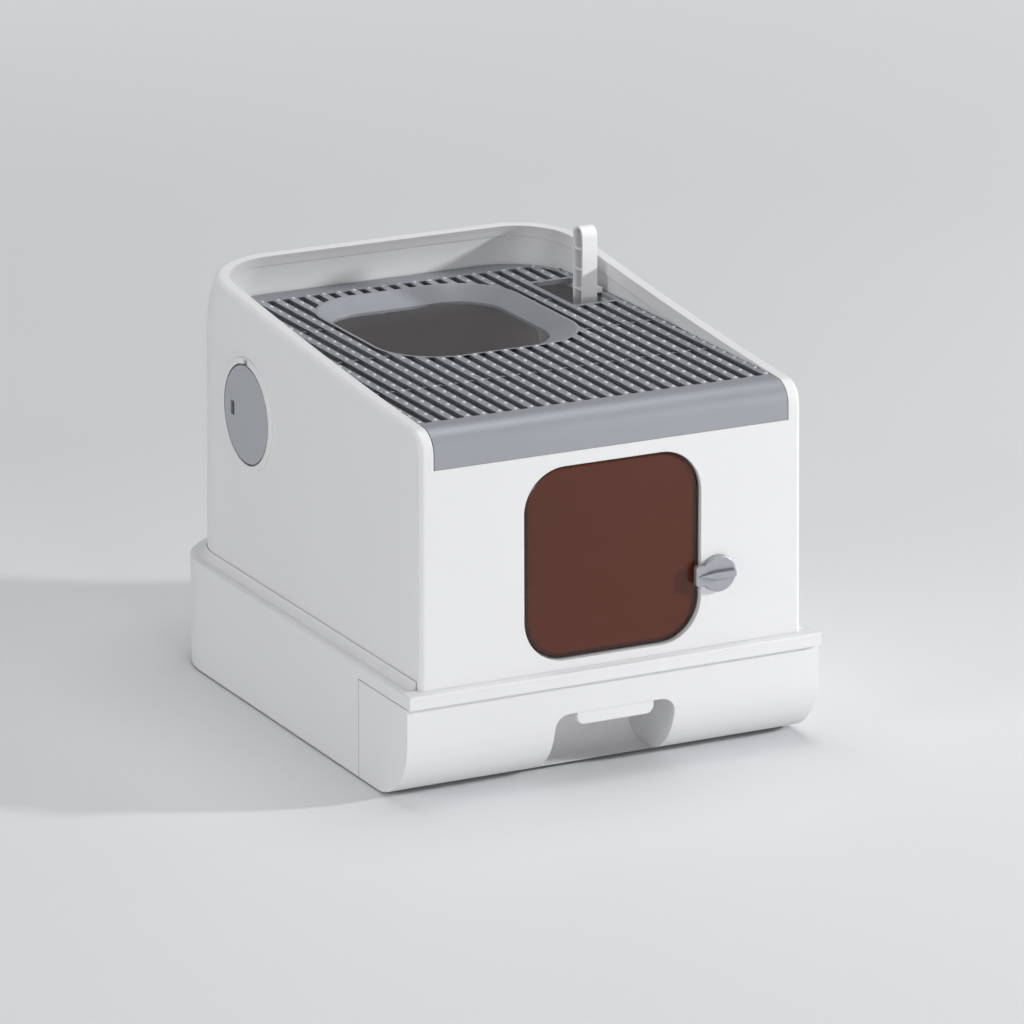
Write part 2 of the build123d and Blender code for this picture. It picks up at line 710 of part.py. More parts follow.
# Turn latch: knob with a tab over the door's edge, held from behind
with BuildPart() as knob_fin:
    tail = KNOB_R - 2 * KNOB_EDGE_R
    with BuildSketch(facing_front(KNOB_SEAT - KNOB_T / 2)):
        with Locations((KNOB_X, KNOB_Z)):
            Polygon(
                (tail, -KNOB_GRIP_W / 2),
                (tail, KNOB_GRIP_W / 2),
                (-KNOB_GRIP_W, KNOB_GRIP_W / 2),
                (-KNOB_TAB_REACH + KNOB_TAB_R, 0),
                (-KNOB_GRIP_W, -KNOB_GRIP_W / 2),
                align=None,
            )
    extrude(amount=KNOB_T / 2 + KNOB_GRIP_H)
    # Seen from above, the bow slopes down from the fin's top to the tab
    crest = behind(KNOB_SEAT - KNOB_T - KNOB_GRIP_H)
    with BuildSketch(Plane.XY.offset(KNOB_Z - KNOB_GRIP_W)):
        Polygon(
            (KNOB_X - KNOB_GRIP_W, crest),
            (KNOB_X - KNOB_TAB_REACH, crest),
            (KNOB_X - KNOB_TAB_REACH, behind(KNOB_SEAT - KNOB_T)),
            align=None,
        )
    extrude(amount=2 * KNOB_GRIP_W, mode=Mode.SUBTRACT)

with BuildPart() as latch_knob:
    with BuildSketch(facing_front(KNOB_SEAT)):
        with Locations((KNOB_X, KNOB_Z)):
            Circle(KNOB_R)
            Rectangle(KNOB_TAB_REACH, KNOB_TAB_H, align=(Align.MAX, Align.CENTER))
        fillet(vertices().group_by(Axis.X)[0], KNOB_TAB_R)
    extrude(amount=KNOB_T)
    fillet(faces().sort_by(Axis.Y)[0].edges(), KNOB_EDGE_R)
    add(knob_fin.part)
    with Locations(Location(facing_front(KNOB_SEAT)) * Location((KNOB_X, KNOB_Z, 0))):
        Cylinder(
            KNOB_STEM_R - KNOB_FIT,
            WASHER_AT - KNOB_SEAT,
            align=(Align.CENTER, Align.CENTER, Align.MAX),
        )
    with Locations(Location(facing_front(WASHER_AT)) * Location((KNOB_X, KNOB_Z, 0))):
        Cylinder(
            SCREW_R + SCREW_FIT,
            KNOB_BITE,
            align=(Align.CENTER, Align.CENTER, Align.MIN),
            mode=Mode.SUBTRACT,
        )
save(latch_knob, "latch_knob")

with BuildPart() as latch_washer:
    with Locations(Location(facing_front(WASHER_AT)) * Location((KNOB_X, KNOB_Z, 0))):
        Cylinder(WASHER_R, WASHER_T, align=(Align.CENTER, Align.CENTER, Align.MAX))
        Cylinder(SCREW_R + SCREW_FIT, 3 * WASHER_T, mode=Mode.SUBTRACT)
save(latch_washer, "latch_washer")

with BuildPart() as latch_screw:
    with Locations(Location(facing_back(WASHER_AT + WASHER_T)) * Location((-KNOB_X, KNOB_Z, 0))):
        screw(WASHER_T + KNOB_BITE - SCREW_FIT)
save(latch_screw, "latch_screw")

# Filter port: cover outside, cup and pad inside
with BuildPart() as filter_cover:
    with Locations(Location(facing_left(PORT_FACE)) * Location((PORT_U, PORT_Z, 0))):
        Cylinder(COVER_R, COVER_T, align=(Align.CENTER, Align.CENTER, Align.MAX))
    fillet(faces().sort_by(Axis.X)[0].edges(), PORT_EDGE_R)
    with Locations(Location(facing_left(PORT_FACE - COVER_T)) * Location((PORT_U, PORT_Z, 0))):
        Cylinder(COVER_SPIGOT_R, COVER_SPIGOT_H, align=(Align.CENTER, Align.CENTER, Align.MAX))
        Cylinder(
            COVER_SPIGOT_R - CUP_WALL,
            COVER_SPIGOT_H,
            align=(Align.CENTER, Align.CENTER, Align.MAX),
            mode=Mode.SUBTRACT,
        )
    with BuildSketch(facing_left(PORT_FACE)):
        with Locations((PORT_U - COIN_SLOT_OUT, PORT_Z)):
            RectangleRounded(*COIN_SLOT, COIN_SLOT_R)
    extrude(amount=-COVER_T, mode=Mode.SUBTRACT)
save(filter_cover, "filter_cover")

with BuildPart() as filter_cup:
    with Locations(Location(facing_right(PORT_SEAT)) * Location((-PORT_U, PORT_Z, 0))):
        Cylinder(PORT_BOSS_R, CUP_WALL, align=(Align.CENTER, Align.CENTER, Align.MIN))
        Cylinder(PORT_R + CUP_WALL, CUP_DEPTH, align=(Align.CENTER, Align.CENTER, Align.MIN))
        Cylinder(
            PORT_R,
            CUP_DEPTH - CUP_WALL,
            align=(Align.CENTER, Align.CENTER, Align.MIN),
            mode=Mode.SUBTRACT,
        )
    with BuildSketch(facing_right(PORT_SEAT - CUP_DEPTH)):
        for step in range(CUP_VENTS):
            offset = (step - (CUP_VENTS - 1) / 2) * CUP_VENT_PITCH
            with Locations((-PORT_U + offset, PORT_Z)):
                chord = 2 * sqrt((PORT_R - CUP_VENT_PITCH / 2) ** 2 - offset**2)
                SlotOverall(chord, CUP_VENT_W, rotation=90)
    extrude(amount=-CUP_WALL, mode=Mode.SUBTRACT)
    with Locations(*cup_screw_places(facing_right(PORT_SEAT))):
        Cylinder(SCREW_R + SCREW_FIT, 3 * CUP_WALL, mode=Mode.SUBTRACT)
save(filter_cup, "filter_cup")

with BuildPart() as filter_screws:
    with Locations(*cup_screw_places(facing_right(PORT_SEAT - CUP_WALL))):
        screw(CUP_WALL + CUP_SCREW_BITE - SCREW_FIT)
save(filter_screws, "filter_screws")

with BuildPart() as filter_pad:
    pad_foot = facing_right(PORT_SEAT - CUP_DEPTH + CUP_WALL)
    with Locations(Location(pad_foot) * Location((-PORT_U, PORT_Z, 0))):
        Cylinder(PORT_R - COVER_GAP, PAD_T, align=(Align.CENTER, Align.CENTER, Align.MAX))
save(filter_pad, "filter_pad")


def slot_grid(rows):
    """Draw the panel's slots, in that many equal rows along the box, into the open sketch."""
    front = BAR_TOP_D + SLOT_FRONT_LAND
    back = PANEL_BACK - SLOT_REAR_LAND
    pitch = 2 * (PANEL_HALF - SLOT_IN) / (SLOT_COLUMNS - 1)
    length = (back - front - (rows - 1) * SLOT_RIB) / rows
    with Locations((0, behind((front + back) / 2))):
        with GridLocations(pitch, length + SLOT_RIB, SLOT_COLUMNS, rows):
            RectangleRounded(SLOT_W, length, SLOT_END_R)


def dish_outlines(margin):
    """The sunken entry's outline at the panel's top and at the hole below."""
    with BuildSketch(Plane.XY.offset(PANEL_Z)) as brim:
        with Locations((0, behind(PANEL_BACK - DISH_REAR_LAND - DISH_L / 2))):
            RectangleRounded(DISH_W + 2 * margin, DISH_L + 2 * margin, DISH_R + margin)
    with BuildSketch(Plane.XY.offset(PANEL_Z - DISH_DROP)) as throat:
        with Locations((0, behind(PANEL_BACK - HOLE_REAR_LAND - HOLE_SIZE / 2))):
            RectangleRounded(HOLE_SIZE + 2 * margin, HOLE_SIZE + 2 * margin, HOLE_R + margin)
    return brim.sketch, throat.sketch


# Top panel: slotted plate with a bent front bar, a sunken entry and a scoop slot
bar_face = hood_front(BAR_FOOT)
with BuildPart() as panel_edge:
    with BuildSketch(Plane.XY.offset(PANEL_FOOT)):
        rounded_plan(PANEL_HALF, BAR_TOP_D, PANEL_BACK, PANEL_CORNER_R)
    extrude(amount=PANEL_T)
    with BuildSketch(Plane.XY.offset(PANEL_FOOT)):
        rounded_plan(
            PANEL_HALF - SLOT_MARGIN,
            BAR_TOP_D - SLOT_MARGIN,
            PANEL_BACK - SLOT_MARGIN,
            PANEL_CORNER_R - SLOT_MARGIN,
        )
    extrude(amount=PANEL_T, mode=Mode.SUBTRACT)

with BuildPart() as top_panel:
    with BuildSketch(Plane.XY.offset(PANEL_FOOT)):
        rounded_plan(PANEL_HALF, BAR_TOP_D, PANEL_BACK, PANEL_CORNER_R)
    extrude(amount=PANEL_T)
    with BuildSketch(Plane.XY.offset(PANEL_FOOT)):
        slot_grid(SLOT_ROWS)
    extrude(amount=PANEL_T, mode=Mode.SUBTRACT)
    with BuildSketch(Plane.XY.offset(PANEL_Z)):
        slot_grid(1)
    extrude(amount=-SLOT_RIB_SINK, mode=Mode.SUBTRACT)
    add(panel_edge.part)
    with BuildSketch(Plane.YZ):
        with Locations((behind(bar_face), PANEL_Z)):
            Rectangle(BAR_TOP_D - bar_face, PANEL_Z - BAR_FOOT, align=(Align.MIN, Align.MAX))
        fillet(vertices().group_by(Axis.X)[0].group_by(Axis.Y)[-1], RIM_FRONT_R)
    extrude(amount=PANEL_HALF, both=True)
    with BuildSketch(Plane.YZ):
        with Locations((behind(bar_face + BAR_T), PANEL_FOOT)):
            Rectangle(BAR_TOP_D - bar_face, PANEL_Z - BAR_FOOT, align=(Align.MIN, Align.MAX))
        fillet(vertices().group_by(Axis.X)[0].group_by(Axis.Y)[-1], RIM_FRONT_R - BAR_T)
    extrude(amount=PANEL_HALF, both=True, mode=Mode.SUBTRACT)
    # Sunken entry
    brim, throat = dish_outlines(DISH_T)
    loft([throat, brim], ruled=True)
    extrude(throat, amount=-DISH_T)
    brim, throat = dish_outlines(0)
    loft([throat, brim], ruled=True, mode=Mode.SUBTRACT)
    extrude(throat, amount=-2 * DISH_T, mode=Mode.SUBTRACT)
    # Scoop slot in a plain frame
    with BuildSketch(Plane.XY.offset(PANEL_FOOT)):
        with Locations((SCOOP_X, behind(SCOOP_AT))):
            Rectangle(SCOOP_SLOT_W + 2 * SCOOP_FRAME, SCOOP_SLOT_L + 2 * SCOOP_FRAME)
    extrude(amount=PANEL_T)
    with BuildSketch(Plane.XY.offset(PANEL_FOOT)):
        with Locations((SCOOP_X, behind(SCOOP_AT))):
            RectangleRounded(SCOOP_SLOT_W, SCOOP_SLOT_L, SCOOP_SLOT_R)
    extrude(amount=PANEL_T, mode=Mode.SUBTRACT)
save(top_panel, "top_panel")


def grip_outline(inset):
    """Side view of the scoop's handle, round at the top."""
    with Locations((behind(GRIP_AT), BLADE_TOP - BLADE_T + inset)):
        Rectangle(
            GRIP_D - 2 * inset,
            GRIP_TOP - BLADE_TOP + BLADE_T - 2 * inset,
            align=(Align.CENTER, Align.MIN),
        )
    fillet(vertices().group_by(Axis.Y)[-1], (GRIP_D - 2 * inset) / 2 * GRIP_ROUND)


# Scoop: ribbed channel handle over a slotted shovel
shovel_w = SCOOP_SLOT_L - 2 * SCOOP_CLEAR
shovel_front = SCOOP_AT - shovel_w / 2
shovel_mouth = SCOOP_X - SCOOP_SLOT_W / 2 + SCOOP_CLEAR
shovel_back = GRIP_X + GRIP_W / 2
with BuildPart() as scoop:
    with BuildSketch(Plane.YZ.offset(GRIP_X - GRIP_W / 2)):
        grip_outline(0)
    extrude(amount=GRIP_W)
    with BuildSketch(Plane.YZ.offset(GRIP_X - GRIP_W / 2)):
        grip_outline(GRIP_WALL)
    extrude(amount=GRIP_W - GRIP_WALL, mode=Mode.SUBTRACT)
    ribs = int((GRIP_TOP - GRIP_D - BLADE_TOP) / GRIP_RIB_PITCH)
    with Locations(*[(GRIP_X, behind(GRIP_AT), BLADE_TOP + (i + 1) * GRIP_RIB_PITCH) for i in range(ribs)]):
        Box(GRIP_W - GRIP_WALL, GRIP_D - GRIP_WALL, GRIP_RIB_T)
    with BuildSketch(facing_front(shovel_front)):
        Polygon(
            (shovel_back, BLADE_TIP),
            (shovel_back, BLADE_TOP),
            (shovel_mouth, BLADE_TOP),
            (shovel_back - 2 * BLADE_T, BLADE_TIP),
            align=None,
        )
    extrude(amount=-shovel_w)
    with BuildSketch(facing_front(shovel_front + BLADE_T)):
        Polygon(
            (shovel_back - BLADE_T, BLADE_TIP - BLADE_T),
            (shovel_back - BLADE_T, BLADE_TOP - BLADE_T),
            (shovel_mouth - BLADE_T, BLADE_TOP - BLADE_T),
            (shovel_mouth - BLADE_T, BLADE_TIP - BLADE_T),
            align=None,
        )
    extrude(amount=BLADE_T - shovel_w + BLADE_T, mode=Mode.SUBTRACT)
    with BuildSketch(Plane.YZ.offset(shovel_back)):
        with Locations((behind(shovel_front + shovel_w / 2), (BLADE_TOP + BLADE_TIP) / 2)):
            with GridLocations(shovel_w / (BLADE_SLOTS + 1), 0, BLADE_SLOTS, 1):
                SlotOverall((BLADE_TOP - BLADE_TIP) * BLADE_SLOT_SHARE, BLADE_SLOT_W, rotation=90)
    extrude(amount=-BLADE_T, mode=Mode.SUBTRACT)
    # Lug that rests on the panel beside the slot
    with Locations((shovel_back - GRIP_WALL, behind(GRIP_AT), PANEL_Z)):
        Box(
            HOOK_L + GRIP_WALL,
            HOOK_D,
            HOOK_H,
            align=(Align.MIN, Align.CENTER, Align.MIN),
        )
    lug_edges = faces().sort_by(Axis.X)[-1].edges()
    fillet(lug_edges.filter_by(lambda edge: edge.center().Z > PANEL_Z), HOOK_H / 3)
save(scoop, "scoop")
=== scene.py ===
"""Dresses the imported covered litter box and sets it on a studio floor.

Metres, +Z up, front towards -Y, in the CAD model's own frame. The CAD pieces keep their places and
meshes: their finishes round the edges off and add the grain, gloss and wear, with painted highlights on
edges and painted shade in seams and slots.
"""

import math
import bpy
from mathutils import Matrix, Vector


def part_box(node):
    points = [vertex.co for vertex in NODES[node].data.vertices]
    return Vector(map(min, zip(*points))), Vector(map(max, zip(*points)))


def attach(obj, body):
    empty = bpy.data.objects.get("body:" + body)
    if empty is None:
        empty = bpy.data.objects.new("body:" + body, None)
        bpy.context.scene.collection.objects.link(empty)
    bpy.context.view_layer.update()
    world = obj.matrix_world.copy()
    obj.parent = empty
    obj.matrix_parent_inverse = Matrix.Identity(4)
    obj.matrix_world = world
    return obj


bl_info = {
    "name": "Covered litter box",
    "version": (1, 0, 0),
    "blender": (4, 5, 0),
    "location": "3D View > Sidebar > Litter Box",
    "description": "Finishes a covered litter box piece by piece and lays a studio stage under it",
    "category": "Object",
}

from typing import NamedTuple

import bmesh
import bpy
from bpy.props import FloatProperty, FloatVectorProperty, IntProperty, PointerProperty
from mathutils import Vector

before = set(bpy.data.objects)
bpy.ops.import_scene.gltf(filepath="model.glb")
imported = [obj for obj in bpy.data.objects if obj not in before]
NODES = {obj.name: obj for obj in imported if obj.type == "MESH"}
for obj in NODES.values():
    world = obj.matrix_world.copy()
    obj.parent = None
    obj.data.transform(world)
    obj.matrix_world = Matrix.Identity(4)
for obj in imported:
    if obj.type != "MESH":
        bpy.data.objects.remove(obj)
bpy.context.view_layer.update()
MM = 0.001
SIDES = ("left", "right")


def srgb(red, green, blue):
    """The linear colour of three 0 to 255 display values."""
    parts = (value / 255 for value in (red, green, blue))
    return tuple(p / 12.92 if p <= 0.04045 else ((p + 0.055) / 1.055) ** 2.4 for p in parts)


def length(label, text, millimetres):
    """A size that a user may change, kept in metres."""
    return FloatProperty(
        name=label, description=text, default=millimetres * MM, min=0.0, precision=5, unit="LENGTH"
    )


def colour(label, text, red, green, blue):
    """A linear colour that a user may change, given by its display values."""
    return FloatVectorProperty(
        name=label, description=text, default=srgb(red, green, blue), min=0.0, max=1.0, subtype="COLOR"
    )


def power(label, text, watts):
    """A lamp's power that a user may change."""
    return FloatProperty(name=label, description=text, default=watts, min=0.0, unit="POWER")


def angle(label, text, degrees):
    """An angle that a user may change."""
    return FloatProperty(name=label, description=text, default=math.radians(degrees), subtype="ANGLE")


class LitterBoxSizes(bpy.types.PropertyGroup):
    """Sizes of the details that the finishes add to the CAD pieces."""

    edge_round: length("Edge rounding", "Rounding of the casing's moulded edges", 0.8)
    rim_round: length("Rim rounding", "Rounding of the hood's rim and openings", 1.4)
    slot_round: length("Slot rounding", "Rounding along the slots of the top panel", 0.7)
    small_round: length("Small rounding", "Rounding of the knob, screws and other small pieces", 0.35)
    pane_corner: length("Pane corner", "Corner radius of the door pane", 41.0)
    pane_band: length("Pane edge", "Width of the door pane's rounded edge", 6.0)
    nub_across: length("Nub diameter", "Diameter of the grip nubs on the top panel", 4.2)
    nub_height: length("Nub height", "Height of the grip nubs above the top panel", 1.5)
    nub_pitch: length("Nub pitch", "Distance between grip nubs along a bar", 20.0)
    bar_pitch: length("Bar pitch", "Distance between the bars of the top panel", 16.35)
    bar_count: IntProperty(name="Bars", description="Number of bars across the top panel", default=23)
    grain: length("Grain", "Width of the fine grain of the moulded plastic", 0.7)


class LitterBoxColours(bpy.types.PropertyGroup):
    """Colours of the finishes."""

    casing: colour("Casing", "White plastic of the base, drawer and hood", 231, 231, 232)
    scoop: colour("Scoop", "White plastic of the scoop", 240, 240, 241)
    tray: colour("Tray", "Warm grey plastic of the litter tray", 196, 181, 171)
    panel: colour("Top panel", "Mid grey plastic of the slotted top", 158, 161, 167)
    # The nubs' paler grey is a painted highlight on their rounded tops
    nub: colour("Nubs", "Paler grey of the rubbed grip nubs", 196, 199, 203)
    cover: colour("Filter cover", "Grey plastic of the round filter cover", 168, 172, 176)
    knob: colour("Latch knob", "Silver grey plastic of the latch knob", 172, 175, 180)
    inner: colour("Inner plastic", "Plastic of the filter cup and door brackets", 205, 206, 207)
    pane: colour("Door pane", "Smoked brown plastic of the door", 86, 42, 27)
    steel: colour("Steel", "Bright steel of the rod and screws", 190, 190, 188)
    rubber: colour("Rubber", "Dark rubber of the feet", 52, 53, 55)
    felt: colour("Felt", "Carbon felt of the filter pad", 38, 38, 40)
    floor: colour("Floor", "Pale studio floor", 226, 227, 229)
    sky: colour("Surroundings", "Pale light that comes from all round", 241, 242, 244)


class LitterBoxStage(bpy.types.PropertyGroup):
    """Lamps, floor and camera."""

    floor_radius: length("Floor radius", "Radius of the studio floor", 80_000.0)
    key_power: power("Key lamp", "Power of the low lamp at the right", 100.0)
    top_power: power("Top lamp", "Power of the wide lamp overhead", 52.0)
    side_power: power("Side lamp", "Power of the wide lamp at the left", 54.0)
    front_power: power("Front lamp", "Power of the low lamp in front", 27.0)
    sky_strength: FloatProperty(
        name="Surroundings", description="Strength of the light from all round", default=0.26, min=0.0
    )
    camera_place: FloatVectorProperty(
        name="Camera", description="Where the camera stands", default=(-2.86865, -5.67842, 2.12332),
        subtype="XYZ", unit="LENGTH",
    )
    camera_tilt: angle("Camera tilt", "How far the camera looks down", 16.96)
    camera_turn: angle("Camera turn", "Turn of the camera about the vertical", -27.04)
    camera_lens: FloatProperty(
        name="Lens", description="Focal length in millimetres", default=245.3, min=1.0
    )


class LitterBoxSettings(bpy.types.PropertyGroup):
    """Everything that a user of the sidebar may change."""

    sizes: PointerProperty(type=LitterBoxSizes)
    colours: PointerProperty(type=LitterBoxColours)
    stage: PointerProperty(type=LitterBoxStage)


class Wire:
    """A value socket that takes part in Python sums: each sum adds its Math node."""

    def __init__(self, finish, socket):
        self.finish = finish
        self.socket = socket

    def sum_with(self, operation, first, second):
        return self.finish.node("ShaderNodeMath", {"operation": operation}, {0: first, 1: second})

    def __add__(self, other):
        return self.sum_with("ADD", self, other)

    def __radd__(self, other):
        return self.sum_with("ADD", other, self)

    def __sub__(self, other):
        return self.sum_with("SUBTRACT", self, other)

    def __rsub__(self, other):
        return self.sum_with("SUBTRACT", other, self)

    def __mul__(self, other):
        return self.sum_with("MULTIPLY", self, other)

    def __rmul__(self, other):
        return self.sum_with("MULTIPLY", other, self)


class PaintedShade(NamedTuple):
    """What a finish counts as a gap, to be painted darker as painted shade.

    Reach is how far away a facing surface still shuts a place in. At the dark share of open sky the
    place is wholly shut in, and at the light share it is open. Alone counts the piece's own faces only.
    """

    reach: float = 6 * MM
    dark: float = 0.1
    light: float = 0.42
    alone: bool = False


def shade(tint, factor):
    """A colour made darker or paler, with full alpha for a colour socket."""
    return tuple(min(1.0, part * factor) for part in tint[:3]) + (1.0,)


class Finish:
    """A material in the making, with the one method that adds nodes to its tree."""

    ROUNDING_SAMPLES = 4
    # Samples of the ambient occlusion that paints shade
    PAINTED_SHADE_SAMPLES = 6
    NOISE_ROUGHNESS = 0.55
    MARK_DETAIL = 4.0
    # How far rounding has to turn the surface (as a cosine) for all or none of an edge's paler tone,
    # part wear and part painted highlight
    EDGE_WORN_AND_HIGHLIT = 0.8
    EDGE_KEPT = 0.995
    SEEN_BY = ("Is Camera Ray", "Is Glossy Ray", "Is Transmission Ray")

    def __init__(self, name, **constants):
        self.material = bpy.data.materials.new(name)
        self.material.use_nodes = True
        self.tree = self.material.node_tree
        self.shader = self.tree.nodes["Principled BSDF"]
        self.paint(**constants)
        self.place = self.node("ShaderNodeTexCoord", output="Object")

    def node(self, kind, settings=None, sockets=None, output=0):
        """Adds a node, its settings first and then its sockets, and gives one of its outputs back."""
        node = self.tree.nodes.new(kind)
        for name, value in (settings or {}).items():
            if name == "stops":
                self.set_stops(node.color_ramp.elements, value)
            else:
                setattr(node, name, value)
        for name, value in (sockets or {}).items():
            self.feed(node.inputs[name], value)
        return Wire(self, node.outputs[output])

    @staticmethod
    def set_stops(elements, stops):
        """Gives a ramp its grey stops, each a position and a level."""
        while len(elements) < len(stops):
            elements.new(1.0)
        for element, (position, level) in zip(elements, stops):
            element.position = position
            element.color = (level, level, level, 1.0)

    def feed(self, socket, value):
        """Links a wire to a socket, or sets the socket to a plain value."""
        if isinstance(value, Wire):
            self.tree.links.new(value.socket, socket)
        else:
            socket.default_value = value

    def paint(self, **sockets):
        """Feeds the shader's sockets and gives the material back."""
        for name, value in sockets.items():
            self.feed(self.shader.inputs[name.replace("_", " ")], value)
        return self.material

    def vector(self, operation, first, second=(0.0, 0.0, 0.0), output=0):
        """Vector maths on places or directions."""
        return self.node("ShaderNodeVectorMath", {"operation": operation}, {0: first, 1: second}, output)

    def noise(self, per_metre, detail=2.0, stretch=None):
        """Soft noise with so many features to the metre, drawn finer along an axis by its stretch."""
        place = self.vector("MULTIPLY", self.place, stretch) if stretch else self.place
        sockets = {
            "Vector": place, "Scale": per_metre, "Detail": detail, "Roughness": self.NOISE_ROUGHNESS,
        }
        return self.node("ShaderNodeTexNoise", sockets=sockets)

    def ramp(self, value, *stops):
        """The value sent through grey stops."""
        return self.node("ShaderNodeValToRGB", {"stops": stops}, {"Fac": value})

    def marks(self, per_metre, stretch, start, full):
        """A mask of drawn-out marks, which begin at the start level of their noise."""
        return self.ramp(self.noise(per_metre, self.MARK_DETAIL, stretch), (start, 0.0), (full, 1.0))

    def blend(self, mask, first, second):
        """Colour first where the mask is 0 and second where it is 1."""
        return self.node("ShaderNodeMix", {"data_type": "RGBA"}, {0: mask, 6: first, 7: second}, 2)

    def mottled(self, mask, tint, darkest, palest):
        """The tint at its darkest where the mask is 0 and at its palest where it is 1."""
        return self.blend(mask, shade(tint, darkest), shade(tint, palest))

    def rounded(self, radius):
        """The surface direction with every edge rounded off to that radius."""
        return self.node("ShaderNodeBevel", {"samples": self.ROUNDING_SAMPLES}, {"Radius": radius})

    def bump(self, height, depth, strength, over):
        """The surface direction with a relief of that depth on top of another direction."""
        sockets = {"Height": height, "Distance": depth, "Strength": strength, "Normal": over}
        return self.node("ShaderNodeBump", sockets=sockets)

    def edges(self, rounded):
        """A mask of the edges painted paler, part rubbed wear and part painted highlight: where rounding
        turns the surface.
        """
        facing = self.node("ShaderNodeNewGeometry", output="Normal")
        kept = self.vector("DOT_PRODUCT", rounded, facing, "Value")
        return self.ramp(kept, (self.EDGE_WORN_AND_HIGHLIT, 1.0), (self.EDGE_KEPT, 0.0))

    def painted_shade_mask(self, gaps):
        """A mask of painted shade: 1 at places with something close in front of them."""
        settings = {"samples": self.PAINTED_SHADE_SAMPLES, "only_local": gaps.alone}
        open_share = self.node("ShaderNodeAmbientOcclusion", settings, {"Distance": gaps.reach}, "AO")
        return self.ramp(open_share, (gaps.dark, 1.0), (gaps.light, 0.0))

    def depth_from_outline(self, box, corner):
        """How far in from the outline of an upright round-cornered pane, up to its corner radius."""
        low, high = (Vector(point) for point in box)
        upright = Vector((1.0, 0.0, 1.0))
        straight = (high - low) / 2 * upright - corner * upright
        centred = self.vector("MULTIPLY", self.vector("SUBTRACT", self.place, (low + high) / 2), upright)
        past = self.vector("SUBTRACT", self.vector("ABSOLUTE", centred), straight)
        return corner - self.vector("LENGTH", self.vector("MAXIMUM", past), output="Value")

    def looked_at(self):
        """1 where the camera, a reflection or a see-through piece looks, 0 for light cast on others."""
        return sum(self.node("ShaderNodeLightPath", output=ray) for ray in self.SEEN_BY)


def moulded_plastic(
    name, tint, grain, rounding, gloss=0.42, relief=0.06 * MM, edge_tone=1.05, gaps=PaintedShade(), metal=0.0
):
    """Satin moulded plastic: spark grain, cloudy gloss, edges painted paler (part rubbed wear, part
    painted highlight) and painted shade in seams and slots.
    """
    finish = Finish(name, IOR=1.49, Metallic=metal)
    rounded = finish.rounded(rounding)
    cloud = finish.noise(per_metre=6.0, detail=3.0)
    fine = finish.noise(per_metre=1.0 / grain)
    scuffs = finish.marks(per_metre=26.0, stretch=(1.0, 6.0, 1.5), start=0.58, full=0.72)
    body = finish.mottled(cloud * 0.5 + fine * 0.5, tint, darkest=0.94, palest=1.05)
    # Edges painted paler: part rubbed wear, part painted highlight
    worn_and_highlit = finish.blend(finish.edges(rounded) * 0.7, body, shade(tint, edge_tone))
    return finish.paint(
        # Painted shade: places shut in by close surfaces are blended to nearly black
        Base_Color=finish.blend(finish.painted_shade_mask(gaps) * 0.85, worn_and_highlit, shade(tint, 0.06)),
        Roughness=gloss - 0.05 + cloud * 0.08 + fine * 0.05 + scuffs * 0.05,
        Normal=finish.bump(fine + cloud * 0.4, depth=relief, strength=0.5, over=rounded),
    )


def quarter_round(steps=4):
    """Ramp stops for the profile of a rounded edge: how far in, and how high."""
    shares = (step / steps for step in range(steps + 1))
    return tuple((share, math.sqrt(1.0 - (1.0 - share) ** 2)) for share in shares)


def smoked_pane(name, tint, rounding, box, corner, band):
    """Tinted see-through plastic with a hard gloss, painted shade along its rounded edges and faint wipe
    marks.
    """
    finish = Finish(name, IOR=1.4, Alpha=0.93, Coat_Roughness=0.05)
    cloud = finish.noise(per_metre=9.0, detail=3.0)
    wipes = finish.marks(per_metre=30.0, stretch=(1.0, 1.0, 7.0), start=0.5, full=0.7)
    inward = finish.depth_from_outline(box, corner) * (1.0 / band)
    profile = finish.ramp(inward, *quarter_round())
    # Painted shade: a dark band along the pane's rounded edge
    edge = finish.ramp(inward, (0.7, 1.0), (1.0, 0.0))
    body = finish.mottled(cloud, tint, darkest=0.9, palest=1.1)
    crown = finish.bump(profile, depth=band / 2, strength=0.6, over=finish.rounded(rounding))
    return finish.paint(
        Base_Color=finish.blend(edge * 0.85, body, shade(tint, 0.4)),
        Roughness=0.14 + wipes * 0.06 + cloud * 0.03 - edge * 0.05,
        Coat_Weight=0.1 + wipes * 0.1 + edge * 0.15,
        Normal=finish.bump(cloud, depth=0.3 * MM, strength=0.35, over=crown),
    )


def bright_steel(name, tint, rounding):
    """Turned steel with fine lines and dulled patches."""
    finish = Finish(name, Metallic=1.0)
    lines = finish.noise(per_metre=500.0, stretch=(1.0, 0.12, 1.0))
    patches = finish.noise(per_metre=60.0, detail=3.0)
    return finish.paint(
        Base_Color=finish.mottled(patches, tint, darkest=0.82, palest=1.04),
        Roughness=0.26 + patches * 0.14 + lines * 0.08,
        Normal=finish.bump(lines, depth=0.03 * MM, strength=0.5, over=finish.rounded(rounding)),
    )


def foot_rubber(name, tint, rounding):
    """Matt rubber with a coarse skin and dusty high spots."""
    finish = Finish(name, IOR=1.5)
    rounded = finish.rounded(rounding)
    skin = finish.noise(per_metre=900.0, detail=3.0)
    dust = finish.noise(per_metre=80.0, detail=3.0)
    # Dust, and edges painted paler as part wear and part painted highlight
    worn_and_highlit = dust * 0.5 + finish.edges(rounded) * 0.4
    return finish.paint(
        Base_Color=finish.mottled(worn_and_highlit, tint, darkest=0.9, palest=1.7),
        Roughness=0.72 + skin * 0.2,
        Normal=finish.bump(skin, depth=0.12 * MM, strength=0.7, over=rounded),
    )


